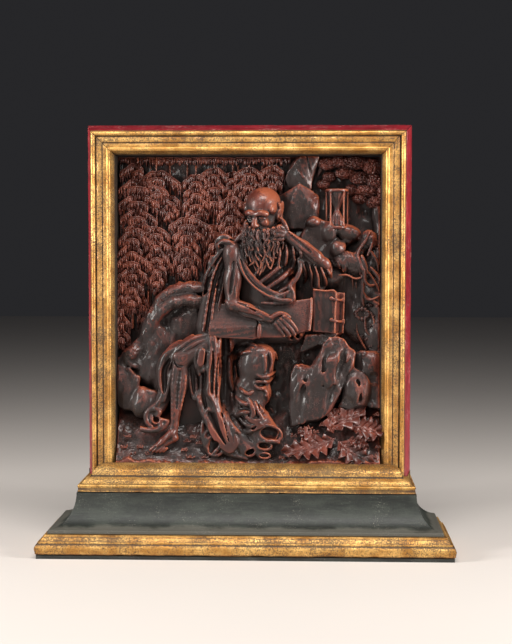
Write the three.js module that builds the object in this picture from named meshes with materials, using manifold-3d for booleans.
// Carved wood relief of a seated old scholar in a rocky wood, in a gilt frame on a moulded plinth.
// Millimetres, +Z up, the carved front looks along -Y. The origin is on the floor, under the centre.
import * as THREE from "three";
import { ConvexGeometry } from "three/addons/geometries/ConvexGeometry.js";
import { mergeVertices } from "three/addons/utils/BufferGeometryUtils.js";
import Module from "manifold-3d";

// Driving dimensions.
const WIDTH = 240;
const DEPTH = 69;
const SIGHT_HALF = 78.7;
const SIGHT_TOP = 231.6;
const GAP = 0.3;
const BOARD_TOP = 2;
const BOARD_INSET = 1;
const FOOT_INNER = 12;
const FOOT_TOP = 13.2;
const LIP_INSET = 6.7;
const LIP_TOP = 15.5;
const PLINTH_INSET = 21.3;
const PLINTH_TOP = 34.7;
const CAP_TOP = 49.8;
const RAIL_FRONT = 7;
const PANEL_BASE = 47.9;
const PANEL_BACK = 33.5;
const GROUND_PLANE = 29.5;

const LEFT = -1;
const RIGHT = 1;
const FRONT_Y = -DEPTH / 2;
const BACK_Y = DEPTH / 2;
const MITRE = (GAP / 2) * Math.SQRT2;
const RAIL_FOOT = PLINTH_TOP + GAP;
const CAP_REAR = RAIL_FRONT - GAP - FRONT_Y;

const wasm = await Module();
wasm.setup();

// Turns any closed geometry into a solid, with its triangles facing outward.
function solid(geometry) {
  const bare = geometry.clone();
  bare.deleteAttribute("normal");
  bare.deleteAttribute("uv");
  const merged = mergeVertices(bare, 1e-4);
  const points = merged.getAttribute("position").array;
  const corners = Array.from(merged.index.array);
  if (signedVolume(points, corners) < 0) {
    corners.reverse();
  }
  return new wasm.Manifold(new wasm.Mesh({
    numProp: 3,
    vertProperties: new Float32Array(points),
    triVerts: new Uint32Array(corners),
  }));
}

function signedVolume(points, corners) {
  const at = (i) => new THREE.Vector3().fromArray(points, corners[i] * 3);
  let volume = 0;
  for (let i = 0; i < corners.length; i += 3) {
    volume += at(i).dot(at(i + 1).cross(at(i + 2))) / 6;
  }
  return volume;
}

function toGeometry(body) {
  const mesh = body.getMesh();
  const geometry = new THREE.BufferGeometry();
  const points = new Float32Array(mesh.vertProperties);
  geometry.setAttribute("position", new THREE.BufferAttribute(points, 3));
  geometry.setIndex(Array.from(mesh.triVerts));
  return geometry;
}

function join(bodies) {
  return bodies.reduce((whole, body) => whole.add(body));
}

// Closed prism of a profile, with every vertex placed by place(a, b, t), t being 0 or 1 along it.
function prism(profile, place) {
  const shape = new THREE.Shape(profile.map(([a, b]) => new THREE.Vector2(a, b)));
  const geometry = new THREE.ExtrudeGeometry(shape, { depth: 1, bevelEnabled: false });
  const position = geometry.getAttribute("position");
  for (let i = 0; i < position.count; i++) {
    const [x, y, z] = place(position.getX(i), position.getY(i), position.getZ(i));
    position.setXYZ(i, x, y, z);
  }
  return solid(geometry);
}

function block(x0, x1, y0, y1, z0, z1) {
  const geometry = new THREE.BoxGeometry(x1 - x0, y1 - y0, z1 - z0);
  geometry.translate((x0 + x1) / 2, (y0 + y1) / 2, (z0 + z1) / 2);
  return solid(geometry);
}

// Round stretch of a moulding, from angle a0 to a1 in degrees, as steps + 1 points.
function arc(cx, cy, rx, ry, a0, a1, steps) {
  const points = [];
  for (let i = 0; i <= steps; i++) {
    const angle = THREE.MathUtils.degToRad(a0 + ((a1 - a0) * i) / steps);
    points.push([cx + rx * Math.cos(angle), cy + ry * Math.sin(angle)]);
  }
  return points;
}

// Mouldings of the plinth. A profile point is [inset from the outer edge, height].
const FOOT_PROFILE = [
  [FOOT_INNER, BOARD_TOP + GAP],
  [1, BOARD_TOP + GAP],
  [0.3, 3],
  ...arc(1.2, 5.6, 1.2, 2.2, 225, 135, 4),
  [1, 8.5],
  [1.6, 8.7],
  ...arc(2.2, 9.3, 0.6, 0.5, 180, 90, 2),
  [2.6, 9.7],
  [4, 11.4],
  [4.2, 12],
  ...arc(5, 12.6, 0.5, 0.5, 225, 90, 2),
  [5.6, FOOT_TOP],
  [FOOT_INNER, FOOT_TOP],
];

const CAP_PROFILE = [
  [CAP_REAR, RAIL_FOOT],
  [PLINTH_INSET, RAIL_FOOT],
  [PLINTH_INSET, 35.6],
  [22, 35.9],
  [22, 37.3],
  ...arc(22.6, 38.5, 1, 1, 230, 90, 4),
  [23.6, 39.6],
  [25.8, 42.4],
  [27.6, 42.7],
  [28.8, 43.6],
  [28.8, 44.4],
  ...arc(38.4, 44.4, 9.4, 5.4, 172, 90, 5),
  [CAP_REAR, CAP_TOP],
];

const LIP_EDGE = LIP_INSET + 0.8;
const HOLLOW_RUN = PLINTH_INSET - LIP_EDGE;
const HOLLOW_RISE = PLINTH_TOP - LIP_TOP;
const CAVETTO = arc(LIP_EDGE, PLINTH_TOP, HOLLOW_RUN, HOLLOW_RISE, -90, 0, 10);

function mitredFront(profile) {
  return prism(profile, (inset, height, t) => {
    const reach = WIDTH / 2 - inset - MITRE;
    return [(2 * t - 1) * reach, FRONT_Y + inset, height];
  });
}

function mitredSide(profile, side) {
  return prism(profile, (inset, height, t) => {
    const start = FRONT_Y + inset + MITRE;
    return [side * (WIDTH / 2 - inset), start + t * (BACK_Y - start), height];
  });
}

// The dark green block: the same hollow moulding on the front and both sides, and a flat back.
function plinthBlock() {
  const core = FOOT_INNER + GAP;
  const outline = [
    [core, BOARD_TOP + GAP],
    [core, FOOT_TOP + GAP],
    [LIP_INSET, FOOT_TOP + GAP],
    [LIP_INSET, LIP_TOP - 0.5],
    ...CAVETTO,
  ];
  const right = outline.map(([inset, height]) => [WIDTH / 2 - inset, height]);
  const left = outline.map(([inset, height]) => [inset - WIDTH / 2, height]).reverse();
  const front = outline.map(([inset, height]) => [FRONT_Y + inset, height]).reverse();
  const across = prism([...right, ...left], (x, z, t) => [x, FRONT_Y + t * DEPTH, z]);
  const along = prism(
    [...front, [BACK_Y, BOARD_TOP + GAP], [BACK_Y, PLINTH_TOP]],
    (y, z, t) => [(2 * t - 1) * (WIDTH / 2), y, z],
  );
  return across.intersect(along);
}

// Frame rail section: [distance out from the sight edge, y]. The gilt face looks forward,
// the painted side flares outward toward the back.
const RAIL_WIDTH = 18.9;
const RAIL_SECTION = [
  [0, BACK_Y],
  [0, 14],
  [1.9, 8.6],
  ...arc(3.4, 8.2, 1.4, 1.2, 180, 360, 5),
  [6.4, 7.9],
  [7, 8.7],
  [7.6, 8],
  [10.3, 8],
  [10.9, 9],
  ...arc(12.6, 8.4, 1.3, 1.2, 180, 360, 5),
  [14.6, 9.8],
  [RAIL_WIDTH, 31],
  [RAIL_WIDTH, BACK_Y],
];

function sideRail(side) {
  return prism(RAIL_SECTION, (out, y, t) => {
    const top = SIGHT_TOP + out - MITRE;
    return [side * (SIGHT_HALF + out), y, RAIL_FOOT + t * (top - RAIL_FOOT)];
  });
}

function topRail() {
  return prism(RAIL_SECTION, (out, y, t) => {
    const reach = SIGHT_HALF + out - MITRE;
    return [(2 * t - 1) * reach, y, SIGHT_TOP + out];
  });
}

function bottomRail() {
  const half = SIGHT_HALF - GAP;
  return block(-half, half, RAIL_FRONT, BACK_Y, RAIL_FOOT, PANEL_BASE - GAP);
}

// Room for a rail's foot, cut out of the cap's side return.
function railClearance(side) {
  const front = RAIL_FRONT - GAP;
  const section = [
    [0, front],
    [14.6 + GAP, front],
    [14.6 + GAP, 9.8],
    [RAIL_WIDTH + GAP, 31],
    [RAIL_WIDTH + GAP, BACK_Y + 1],
    [-RAIL_WIDTH, BACK_Y + 1],
    [-RAIL_WIDTH, front],
  ];
  return prism(section, (out, y, t) => [side * (SIGHT_HALF + out), y, PLINTH_TOP + t * RAIL_WIDTH]);
}

// Limbs thinner than this radius are cut in fewer facets.
const SLIGHT = 6;

// Carving blanks. Every one is closed and reaches into its neighbour or the backing.
function ball([x, y, z], rx, ry, rz, tilt = 0, detail = 1) {
  const geometry = new THREE.IcosahedronGeometry(1, detail);
  geometry.scale(rx, ry, rz);
  geometry.rotateY(THREE.MathUtils.degToRad(tilt));
  geometry.translate(x, y, z);
  return solid(geometry);
}

function ballPoints([x, y, z, r], detail) {
  const geometry = new THREE.IcosahedronGeometry(r, detail);
  const position = geometry.getAttribute("position");
  const points = [];
  for (let i = 0; i < position.count; i++) {
    points.push(new THREE.Vector3().fromBufferAttribute(position, i).add(new THREE.Vector3(x, y, z)));
  }
  return points;
}

// Tapered limb through a row of [x, y, z, radius].
function limb(stations) {
  const spans = stations.slice(1).map((end, i) => {
    const detail = Math.max(end[3], stations[i][3]) < SLIGHT ? 0 : 1;
    return solid(new ConvexGeometry([...ballPoints(stations[i], detail), ...ballPoints(end, detail)]));
  });
  return join(spans);
}

// Uneven ridge of rock, root or leafage through a row of [x, y, z, radius].
function ridge(stations) {
  const spans = stations.slice(1).map((end, i) => {
    return solid(new ConvexGeometry([...ballPoints(stations[i], 0), ...ballPoints(end, 0)]));
  });
  return join(spans);
}

function hull(points) {
  return solid(new ConvexGeometry(points.map((p) => new THREE.Vector3(...p))));
}

// Ridge of cloth along a curve, half width w across and half height h out of the panel.
function fold(points, w, h = w, steps = 5) {
  const curve = new THREE.CatmullRomCurve3(points.map((p) => new THREE.Vector3(...p)));
  const section = new THREE.Shape(arc(0, 0, w, h, 0, 300, 5).map(([a, b]) => new THREE.Vector2(a, b)));
  return solid(new THREE.ExtrudeGeometry(section, { steps, extrudePath: curve, bevelEnabled: false }));
}

function seededRandom(seed) {
  let state = seed;
  return () => {
    state = (state * 16807) % 2147483647;
    return state / 2147483647;
  };
}

// Angular boulder: the hull of random points near an ellipsoid.
function rock([x, y, z], rx, ry, rz, seed, count = 16) {
  const random = seededRandom(seed);
  const points = [];
  for (let i = 0; i < count; i++) {
    const turn = 2 * Math.PI * random();
    const rise = 2 * random() - 1;
    const ring = Math.sqrt(1 - rise * rise);
    const reach = 0.85 + 0.15 * random();
    points.push([
      x + rx * reach * ring * Math.cos(turn),
      y + ry * reach * ring * Math.sin(turn),
      z + rz * reach * rise,
    ]);
  }
  return hull(points);
}

// How far the carving's rear reaches into the backing, so that the two are one body.
const RELIEF_SINK = GROUND_PLANE + 1;

// Fir bough: an arched spray with a hanging fringe, drooping on each side.
function bough(x, z, half, drop, front) {
  const spray = [[x, front + 1, z - drop], [x, RELIEF_SINK, z - drop]];
  for (const side of [LEFT, RIGHT]) {
    for (const y of [front, RELIEF_SINK]) {
      spray.push([x + side * half, y + 2, z - 0.5 * drop]);
      spray.push([x + side * half * 0.4, y, z]);
    }
  }
  return hull(spray);
}

// Lobed leaf lying on the ground: pointed lobes in pairs along a midrib.
function leaf([x, y, z], length, half, turn, pairs = 3) {
  const outline = [[0, 0]];
  for (const side of [RIGHT, LEFT]) {
    for (let i = 0; i < pairs; i++) {
      const step = side === RIGHT ? i : pairs - 1 - i;
      const start = ((step + 0.2) / (pairs + 0.4)) * length;
      const lobe = half * (1 - 0.35 * (step / pairs));
      const points = [[start, side * half * 0.25], [start + length * 0.2, side * lobe]];
      outline.push(...(side === RIGHT ? points : points.reverse()));
    }
    if (side === RIGHT) {
      outline.push([length, 0]);
    }
  }
  const angle = THREE.MathUtils.degToRad(turn);
  return prism(outline, (a, b, t) => [
    x + a * Math.cos(angle) - b * Math.sin(angle),
    y + t * (RELIEF_SINK - y),
    z + a * Math.sin(angle) + b * Math.cos(angle),
  ]);
}

// Turned glass between two plates and four corner posts.
function hourglass() {
  const centre = [52.6, 19.5];
  const top = 211.8;
  const base = 189.5;
  const half = 6.6;
  const plate = 1.2;
  const waist = (top + base) / 2;
  const profile = [
    [0, base],
    [4.6, base],
    [4.2, base + 4],
    [1.3, waist],
    [4.6, top - 5],
    [5.4, top],
    [0, top],
  ];
  const glass = new THREE.LatheGeometry(profile.map(([r, h]) => new THREE.Vector2(r, h)), 10);
  glass.rotateX(Math.PI / 2);
  glass.translate(centre[0], centre[1], 0);
  const bodies = [solid(glass)];
  for (const height of [base, top]) {
    bodies.push(block(
      centre[0] - half, centre[0] + half, centre[1] - 5, RELIEF_SINK, height - plate, height + plate,
    ));
  }
  for (const side of [LEFT, RIGHT]) {
    const x = centre[0] + side * (half - 0.6);
    bodies.push(block(x - 0.6, x + 0.6, centre[1] - 4.6, centre[1] - 3.4, base, top));
  }
  return join(bodies);
}

function books() {
  const thick = 4.6;
  const leftPage = [
    [-20.1, 13, 144.2], [-22.8, 8.5, 127.3], [5.6, 9, 126.1], [6, 14, 143.1],
  ];
  const rightPage = [
    [6, 14, 143.1], [5.6, 9, 126.1], [32.2, 9, 126.2], [36.9, 10, 130.3], [37.4, 15, 147.2],
  ];
  const bodies = [leftPage, rightPage].map((page) => {
    const under = page.map(([x, y, z]) => [x, y + 2.5, z - thick]);
    const rear = page.map(([x, y, z]) => [x, y + 7, z - 1]);
    return hull([...page, ...under, ...rear]);
  });
  bodies.push(block(38.6, 54.4, 16, RELIEF_SINK, 126.5, 152));
  bodies.push(block(51.6, 57, 17.5, RELIEF_SINK, 127, 151.4));
  for (const clasp of [147, 133]) {
    bodies.push(block(49.4, 56.8, 15.4, 19, clasp - 1, clasp + 1));
  }
  return join(bodies);
}

// The old man: head, trunk, arms and the bare right leg.
function figure() {
  return join([
    ball([9.8, 15, 196.9], 9.6, 9.5, 11, -8, 2),
    ball([9, 12, 193.4], 6.6, 6.5, 8, -8),
    limb([[6.1, 11, 189.8, 3], [8.4, 10.5, 175.7, 8], [9.6, 10.5, 165.1, 3]]),
    limb([[-1.8, 14, 186.3, 3], [2.5, 12.5, 174.5, 4]]),
    limb([[19.5, 15, 186.3, 2.5], [15.5, 12.5, 174.5, 4]]),
    limb([[10.6, 18, 186.3, 8], [9.3, 21, 172.6, 14]]),
    ball([10.4, 23, 154.6], 22, 10, 30),
    ball([8.1, 23, 132.4], 26, 10, 16),
    limb([[-7.8, 17, 173.2, 7.2], [-10.1, 14.5, 162.6, 5.8], [-10.6, 13, 144.8, 5]]),
    limb([[-10.5, 11.5, 143.7, 4.8], [1.4, 10.5, 140.2, 4.5], [15, 10, 136.2, 3]]),
    limb([[15, 10, 136.2, 2.8], [22.1, 9.4, 133.3, 3.4]]),
    limb([[23.3, 9.6, 133.8, 1.5], [29.2, 9.6, 127.3, 1.1]]),
    limb([[20.9, 9.6, 132.1, 1.5], [26.3, 9.4, 126.2, 1.1]]),
    limb([[18.6, 9.6, 130.9, 1.4], [22.7, 9.4, 125.6, 1.1]]),
    limb([[29, 23, 168.4, 8], [40.3, 18, 167.3, 5]]),
    limb([[41.5, 15.5, 168.6, 5], [32, 14.5, 177.5, 4], [23.1, 14, 182.8, 2.8]]),
    limb([[23.1, 13.5, 182.8, 2.8], [18.4, 13.5, 186.9, 3.2]]),
    limb([[-22.8, 17, 120.7, 7.5], [-38.7, 13.5, 111.4, 6.8]]),
    limb([[-39.8, 13, 109, 5.6], [-41.1, 13, 94.7, 5.4], [-42.4, 14, 77.7, 3.2], [-43.6, 13.5, 67, 3]]),
    limb([[-42.3, 13, 63.5, 3.2], [-51.2, 11.5, 60.6, 2.6], [-57.1, 10.4, 57.7, 1.9]]),
    limb([[8.4, 14, 112.7, 9.5], [4.2, 16, 98.1, 7.5]]),
    limb([[21.4, 19, 120.7, 9], [8.4, 14, 112.7, 9]]),
    limb([[3.6, 16, 98.1, 8], [3.6, 15.5, 80.2, 6.5], [9.6, 14, 68.4, 8]]),
  ]);
}

// Cloak and tunic: the larger folds that carry the outline.
function drapery() {
  return join([
    fold([
      [-7.2, 17, 183.9], [-14.3, 16, 180.4], [-19.2, 17.5, 168.5],
      [-24.1, 19, 145.7], [-27.1, 19, 124.2],
    ], 4.4, 4),
    fold([[-9.6, 17, 181.6], [-15.6, 17, 168.5], [-19.8, 17.5, 151.8], [-21.7, 18.5, 127.8]], 3, 3),
    fold([
      [-5.4, 15, 174.5], [-2.9, 14, 159.7], [5.4, 13.8, 153.7], [13.7, 14, 147.8],
      [26.1, 15, 145.4],
    ], 1.7, 2),
    fold([[29.6, 18, 161.4], [25.5, 15.5, 154.9], [13.1, 15, 147.8]], 1.7, 2),
    fold([[24.8, 18, 178], [21.3, 16, 168.5], [13, 15.6, 155.5]], 1.8, 2),
    fold([
      [-25.6, 14.5, 125.7], [-35.6, 13, 122.2], [-45.3, 13.6, 114.9],
      [-52.6, 15, 102.8], [-50.2, 15, 89.6],
    ], 3, 3.4),
    fold([[-50.2, 15, 89.6], [-53.8, 14.4, 83], [-59.8, 14, 78.3], [-57.4, 14, 72.3]], 2.2, 2.6),
    fold([[-75.1, 21, 71.9], [-66.4, 19, 69.2], [-57.7, 17, 67], [-50.6, 18, 68.2]], 1.6, 3.4),
    fold([
      [-23.7, 13.5, 122.2], [-26.6, 12, 109.1], [-27.2, 11.6, 87.7],
      [-22.5, 11.6, 72.2], [-11.7, 11, 60.3],
    ], 3.2, 3.6),
    fold([
      [-17.2, 14, 122.1], [-19, 13, 103.1], [-18.4, 12.6, 84], [-10.6, 12, 68.6],
      [-3.4, 11.4, 55.5],
    ], 3, 3.4),
    fold([
      [-10.7, 15, 122.1], [-11.9, 14.6, 103], [-9.5, 14, 83.9], [-3.5, 13, 69.7],
      [3.7, 12, 57.9],
    ], 3, 3.4),
    fold([[-21.4, 13, 71.4], [-23.1, 12, 60.1], [-16.5, 11, 53.1], [-6.9, 11, 52]], 3, 3.4),
    fold([
      [-4.7, 13, 116.3], [-10.1, 13.6, 109.1], [-7.1, 13.6, 98.3], [1.3, 14, 93.5],
      [9.6, 13.6, 98.4],
    ], 2, 2.4),
    fold([[-5.9, 13.6, 87.6], [1.3, 12.6, 81.7], [9.6, 13, 76.9], [16.8, 13.6, 72.1]], 2.6, 3),
    fold([
      [4.9, 12, 62.7], [8.5, 11.6, 71.1], [16.8, 11.8, 72.3], [20.4, 12, 64],
      [18, 12, 58],
    ], 1.8, 2.6),
    fold([[-1, 11.6, 55.5], [4.9, 11.4, 62.8], [12.1, 11.4, 58], [8.5, 11.4, 52]], 1.8, 2.6),
    fold([[20.2, 17, 124.5], [24.4, 19, 115.9], [21.4, 20, 106.3]], 3, 3.4),
  ]);
}

function rocksAndGround() {
  const ground = hull([
    [-SIGHT_HALF, RAIL_FRONT + 1, PANEL_BASE], [SIGHT_HALF, RAIL_FRONT + 1, PANEL_BASE],
    [-SIGHT_HALF, RAIL_FRONT + 1, 50.5], [SIGHT_HALF, RAIL_FRONT + 1, 51],
    [-SIGHT_HALF, 16, 66], [SIGHT_HALF, 15, 66],
    [-SIGHT_HALF, RELIEF_SINK, 83], [SIGHT_HALF, RELIEF_SINK, 83],
    [-SIGHT_HALF, RELIEF_SINK, PANEL_BASE], [SIGHT_HALF, RELIEF_SINK, PANEL_BASE],
  ]);
  return join([
    ground,
    rock([44.2, 25, 94.4], 18, 11, 25, 11, 26),
    rock([54.9, 27, 114.2], 11, 10, 12, 23),
    rock([32.7, 27, 91.1], 12, 11, 18, 31),
    rock([67.1, 29, 97.2], 11, 9, 15, 41),
    rock([77.4, 30, 102], 8, 8, 15, 53),
    rock([64.1, 26, 84.1], 11, 10, 9, 61),
    rock([-71.7, 29, 114.8], 10, 10, 16, 71),
    rock([-71.6, 28, 93], 11, 12, 15, 83),
    rock([-60.3, 31, 120.8], 10, 8, 14, 97),
    ball([-61.4, 23, 83.8], 8, 9, 9),
    ridge([[-54.1, 30, 134.3, 7], [-43.1, 30, 146.4, 7], [-28.6, 31, 151.3, 7]]),
    ridge([[-56.6, 31, 117.8, 9], [-38.9, 31, 131.8, 10], [-26.8, 31, 127, 10]]),
    rock([33, 32, 221.8], 10, 7, 15, 101, 20),
    rock([29.4, 30, 202], 13, 10, 15, 113, 22),
    rock([40.3, 28, 181.6], 9, 9, 14, 127, 20),
    rock([58.3, 29, 179.8], 9, 9, 12, 131, 20),
    rock([49.3, 26, 179.8], 8, 9, 9, 137),
    rock([53.6, 31, 159.9], 15, 8, 12, 149, 20),
    rock([68.2, 31, 145.4], 11, 6, 20, 151, 20),
    rock([73.1, 32, 121.2], 9, 6, 14, 157),
    rock([66.8, 33, 192.4], 12, 7, 16, 163),
    ridge([[69.5, 22, 178, 3.2], [64.8, 22, 168.5, 4], [52.3, 24, 163.7, 4]]),
    ridge([[68.4, 23, 172.1, 4], [73.9, 26, 157.7, 3.4], [70.5, 27, 138.4, 3], [74.8, 28, 118.5, 3.4]]),
    ridge([[57.6, 30, 217.5, 6.5], [45.6, 31, 215.2, 5]]),
    ridge([[60.5, 29, 222.3, 8], [74.9, 30, 225.9, 7]]),
    ridge([[67.8, 29, 213.9, 7], [75.6, 30, 203.2, 6]]),
  ]);
}

// Rows of boughs over the upper left, each a little off the last, with a few bare trunks below.
const BOUGH_ROWS = [96, 96, 96, 72, 56, 40];
const BOUGH_PITCH = 16;
const ROW_DROP = 14.5;

function forest() {
  const bodies = [];
  const random = seededRandom(7);
  BOUGH_ROWS.forEach((reach, row) => {
    for (let along = 0; along < reach; along += BOUGH_PITCH) {
      const x = 4 - SIGHT_HALF + along + (row % 2) * 6 + 3 * random();
      const z = SIGHT_TOP - 2.5 - row * ROW_DROP - 3 * random();
      bodies.push(bough(x, z, 8.4, 12.5, 23.5 + 3 * random()));
    }
  });
  for (const [top, foot] of [
    [[-67.4, 27, 213.9, 1.2], [-67.5, 27, 186.3, 1.4]],
    [[-57.8, 27, 195.3, 1.2], [-53.7, 27, 142.9, 1.4]],
    [[-71.1, 27, 183.3, 1.3], [-70.1, 27, 132, 1.5]],
    [[-37.3, 27, 175.5, 1.2], [-37.4, 27, 152.6, 1.3]],
    [[-61.1, 28, 151.3, 1.2], [-61.2, 28, 128.3, 1.3]],
  ]) {
    bodies.push(limb([top, foot]));
  }
  for (const z of [150, 138, 128]) {
    bodies.push(bough(-74, z, 5, 9, 24.5));
  }
  return join(bodies);
}

function leaves() {
  return join([
    leaf([57.2, 13, 79.6], 21, 8, -28, 3),
    leaf([61.9, 11.5, 71.4], 19, 7.5, 0, 3),
    leaf([53.7, 11, 65.5], 21, 8, 205, 3),
    leaf([61.9, 10.5, 64.4], 17, 7, -62, 3),
  ]);
}

function reliefPanel() {
  const half = SIGHT_HALF - GAP;
  const backing = block(-half, half, GROUND_PLANE, PANEL_BACK, PANEL_BASE, SIGHT_TOP - GAP);
  const room = block(-half, half, RAIL_FRONT + 0.1, PANEL_BACK, PANEL_BASE, SIGHT_TOP - GAP);
  const carving = join([rocksAndGround(), forest(), leaves(), hourglass(), books(), figure(), drapery()]);
  return backing.add(carving).intersect(room);
}

const FINISHES = {
  gilding: { color: 0xc08f3c, roughness: 0.42, metalness: 0.75 },
  paintedSide: { color: 0x9d1426, roughness: 0.6, metalness: 0 },
  greenPaint: { color: 0x2a2f29, roughness: 0.62, metalness: 0 },
  blackPaint: { color: 0x101211, roughness: 0.7, metalness: 0 },
  carvedWood: { color: 0x4a1f12, roughness: 0.38, metalness: 0 },
};

const group = new THREE.Group();

function add(name, body, finish) {
  const mesh = new THREE.Mesh(toGeometry(body), new THREE.MeshStandardMaterial(finish));
  mesh.name = name;
  group.add(mesh);
}

function baseBoard() {
  const half = WIDTH / 2 - BOARD_INSET;
  return block(-half, half, FRONT_Y + BOARD_INSET, BACK_Y, 0, BOARD_TOP);
}

add("base_board", baseBoard(), FINISHES.blackPaint);
add("foot_moulding_front", mitredFront(FOOT_PROFILE), FINISHES.gilding);
add("foot_moulding_left", mitredSide(FOOT_PROFILE, LEFT), FINISHES.gilding);
add("foot_moulding_right", mitredSide(FOOT_PROFILE, RIGHT), FINISHES.gilding);
add("plinth_block", plinthBlock(), FINISHES.greenPaint);
add("cap_moulding_front", mitredFront(CAP_PROFILE), FINISHES.gilding);
add("cap_moulding_left", mitredSide(CAP_PROFILE, LEFT).subtract(railClearance(LEFT)), FINISHES.gilding);
add("cap_moulding_right", mitredSide(CAP_PROFILE, RIGHT).subtract(railClearance(RIGHT)), FINISHES.gilding);
add("frame_rail_left", sideRail(LEFT), FINISHES.gilding);
add("frame_rail_right", sideRail(RIGHT), FINISHES.gilding);
add("frame_rail_top", topRail(), FINISHES.gilding);
add("frame_rail_bottom", bottomRail(), FINISHES.paintedSide);
add("relief_panel", reliefPanel(), FINISHES.carvedWood);

export default group;
